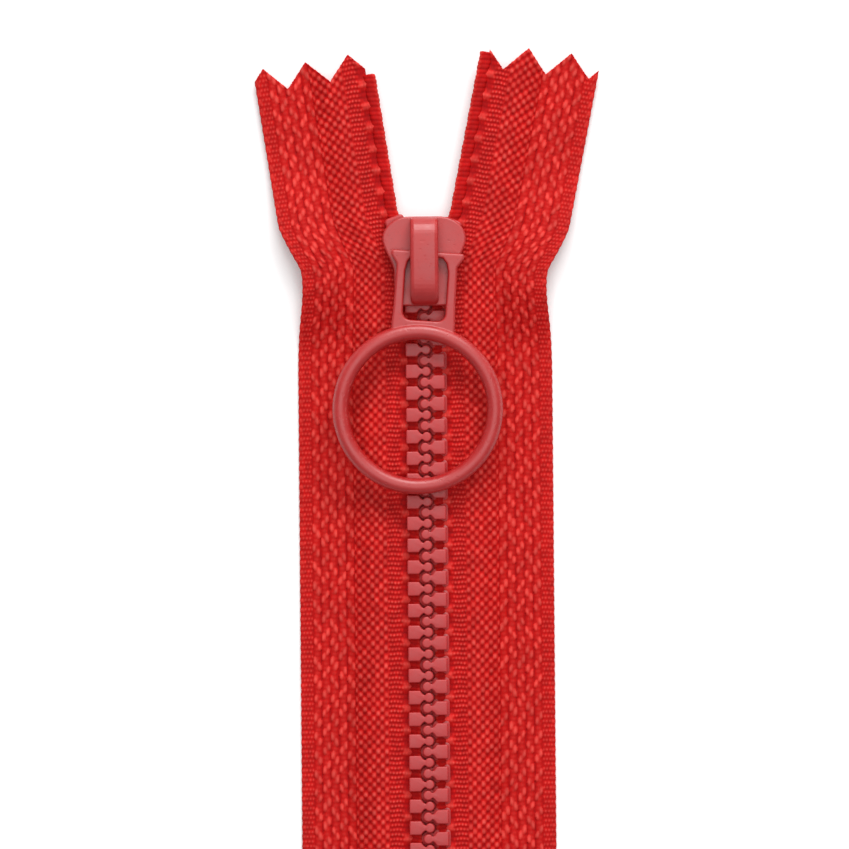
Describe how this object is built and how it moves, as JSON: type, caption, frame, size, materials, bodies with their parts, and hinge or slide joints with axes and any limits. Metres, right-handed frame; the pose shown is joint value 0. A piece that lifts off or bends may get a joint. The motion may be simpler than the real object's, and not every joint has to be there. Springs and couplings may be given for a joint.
{
  "type": "closed-end zipper",
  "caption": "Zipper with two woven tapes, rows of moulded teeth and a locking slider with a ring pull, closed below the slider and parted above it.",
  "frame": {"origin": "under the middle of the bounding box, on the surface the zipper lies on; the chain's axis is at x = 0 and the box's middle is 0.4 mm to its right", "axes": "+X across the chain to its right seen from the front, +Y along the chain from the bottom stop to the slider and the open end, +Z out of the face with the pull"},
  "size_m": [0.043, 0.2004, 0.0081],
  "materials": {
    "woven_red": "woven",
    "moulded_red": "matte",
    "painted_red": "satin",
    "spring_steel": "plain"
  },
  "bodies": {
    "bottom_end": {"bottom_stop": "moulded_red", "left_tape_tail": "woven_red", "left_cord_tail": "woven_red", "left_teeth_01": "moulded_red", "right_tape_tail": "woven_red", "right_cord_tail": "woven_red", "right_teeth_01": "moulded_red"},
    "left_stringer": {"left_tape": "woven_red", "left_cord_top": "woven_red", "left_top_stop": "moulded_red", "left_teeth_02": "moulded_red", "left_teeth_03": "moulded_red", "left_teeth_04": "moulded_red", "left_teeth_05": "moulded_red", "left_teeth_06": "moulded_red", "left_teeth_07": "moulded_red", "left_teeth_08": "moulded_red", "left_teeth_09": "moulded_red", "left_teeth_10": "moulded_red", "left_teeth_11": "moulded_red", "left_teeth_12": "moulded_red", "left_teeth_13": "moulded_red"},
    "right_stringer": {"right_tape": "woven_red", "right_cord_top": "woven_red", "right_top_stop": "moulded_red", "right_teeth_02": "moulded_red", "right_teeth_03": "moulded_red", "right_teeth_04": "moulded_red", "right_teeth_05": "moulded_red", "right_teeth_06": "moulded_red", "right_teeth_07": "moulded_red", "right_teeth_08": "moulded_red", "right_teeth_09": "moulded_red", "right_teeth_10": "moulded_red", "right_teeth_11": "moulded_red", "right_teeth_12": "moulded_red"},
    "slider": {"slider_body": "painted_red", "crown": "painted_red"},
    "pawl": {"lock_pawl": "spring_steel"},
    "pull": {"pull_tab": "painted_red"}
  },
  "joints": [
    {"name": "slider_travel", "type": "slide", "parent": "bottom_end", "child": "slider", "axis": [0, -1, 0], "range_m": [0, 0.148], "deforming": ["left_tape", "left_cord_top", "left_teeth_02", "left_teeth_03", "left_teeth_04", "left_teeth_05", "left_teeth_06", "left_teeth_07", "left_teeth_08", "left_teeth_09", "left_teeth_10", "left_teeth_11", "left_teeth_12", "left_teeth_13", "right_tape", "right_cord_top", "right_teeth_02", "right_teeth_03", "right_teeth_04", "right_teeth_05", "right_teeth_06", "right_teeth_07", "right_teeth_08", "right_teeth_09", "right_teeth_10", "right_teeth_11", "right_teeth_12"]},
    {"name": "left_stringer_opens", "type": "hinge", "parent": "bottom_end", "child": "left_stringer", "pos_m": [-0.0026, -0.0743, 0.0025], "axis": [0, 0, 1], "range_deg": [0, 14]},
    {"name": "right_stringer_opens", "type": "hinge", "parent": "bottom_end", "child": "right_stringer", "pos_m": [0.0026, -0.0743, 0.0025], "axis": [0, 0, -1], "range_deg": [0, 14]},
    {"name": "pull_swings", "type": "hinge", "parent": "slider", "child": "pull", "pos_m": [0.00045, 0.0751, 0.0058], "axis": [-0.9973, 0.0732, 0], "range_deg": [0, 175]},
    {"name": "pawl_lifts", "type": "hinge", "parent": "slider", "child": "pawl", "pos_m": [0, 0.0785, 0.0067], "axis": [-1, 0, 0], "range_deg": [0, 3], "stiffness_Nm_per_rad": 0.0005}
  ],
  "couplings": [
    {"joint": "left_stringer_opens", "follows": "slider_travel", "rad_per_m": 1.65},
    {"joint": "right_stringer_opens", "follows": "slider_travel", "rad_per_m": 1.65}
  ]
}
